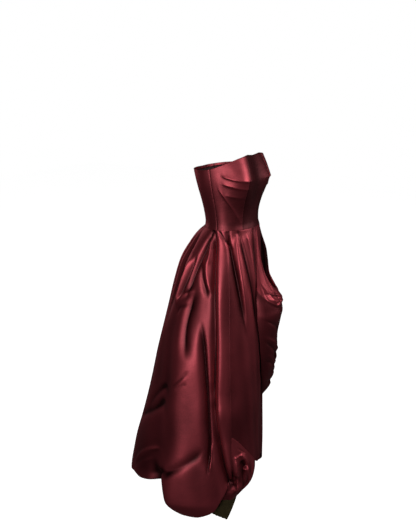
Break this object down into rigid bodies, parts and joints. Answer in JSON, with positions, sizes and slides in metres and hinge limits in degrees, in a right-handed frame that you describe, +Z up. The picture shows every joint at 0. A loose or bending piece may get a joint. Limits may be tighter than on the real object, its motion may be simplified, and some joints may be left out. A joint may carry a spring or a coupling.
{
  "type": "strapless evening gown with a draped hip and a balloon hem",
  "caption": "Strapless floor-length satin gown with a fitted seamed bodice, a cowl drape at the hip, a full gathered skirt with a small train and a picked-up balloon hem.",
  "frame": {"origin": "middle of the waist at the level of the waist seam, where the wearer holds the gown up", "axes": "+Z up along the wearer, -Y the wearer's front, +X the wearer's left"},
  "size_m": [0.5956, 0.5832, 1.3358],
  "materials": {
    "satin": "heavy satin, smooth, with a broad soft sheen along its folds",
    "net": "fine stiff net, dull",
    "zip_metal": "enamelled to match the satin"
  },
  "bodies": {
    "dress": {"bodice_back_left": "satin", "bodice_side_back_left": "satin", "bodice_side_front_left": "satin", "bodice_centre_front": "satin", "bodice_side_front_right": "satin", "bodice_side_back_right": "satin", "bodice_back_right": "satin", "skirt_front": "satin", "skirt_side_right": "satin", "skirt_back_right": "satin", "skirt_back_left": "satin", "skirt_side_left": "satin", "hip_drape": "satin", "hem_pickup": "satin", "net_hem": "net", "zip_slider": "zip_metal"},
    "zip_tab": {"zip_pull": "zip_metal"}
  },
  "joints": [
    {"name": "zip_tab_hinge", "type": "hinge", "parent": "dress", "child": "zip_tab", "pos_m": [0, 0.12926, 0.18468], "axis": [1, 0, 0], "range_deg": [-8, 150]}
  ]
}
